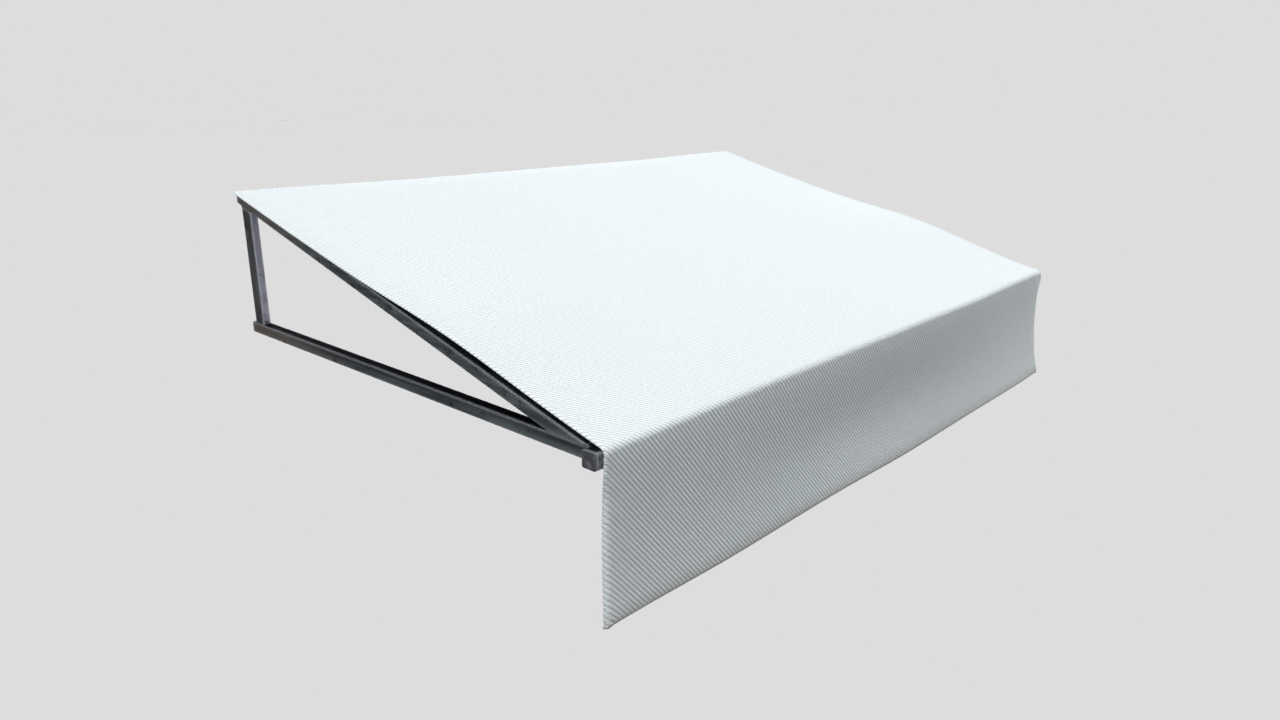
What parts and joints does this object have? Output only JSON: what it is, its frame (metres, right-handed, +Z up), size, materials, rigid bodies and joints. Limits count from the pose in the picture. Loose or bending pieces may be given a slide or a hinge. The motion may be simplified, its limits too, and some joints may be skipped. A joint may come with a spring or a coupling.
{
  "type": "fabric awning",
  "caption": "Wall-mounted awning: a welded square-tube frame with level arms, sloping rafters and rear posts, and one white cloth that bends over the front bar into a hanging valance.",
  "frame": {"origin": "middle of the rear rail's wall face", "axes": "+X along the wall, +Y into the wall, +Z up; the awning stands out towards -Y"},
  "size_m": [1.848, 1.183, 0.6081],
  "materials": {
    "awning_cloth": "white heavy ribbed cloth, matt",
    "frame_steel": "dark blackened steel tube with a dull sheen and paler edges",
    "end_plug": "dark grey moulded plastic",
    "holding_strip": "black hook-and-loop tape"
  },
  "bodies": {
    "root": {"canopy": "awning_cloth", "front_bar": "frame_steel", "front_bar_plug_left": "end_plug", "front_bar_plug_right": "end_plug", "bottom_arm_left": "frame_steel", "bottom_arm_right": "frame_steel", "bottom_arm_plug_left": "end_plug", "bottom_arm_plug_right": "end_plug", "rafter_left": "frame_steel", "rafter_right": "frame_steel", "rafter_plug_left": "end_plug", "rafter_plug_right": "end_plug", "wall_post_left": "frame_steel", "wall_post_right": "frame_steel", "rear_rail": "frame_steel", "front_holding_strip": "holding_strip", "rear_holding_strip": "holding_strip"}
  },
  "joints": []
}
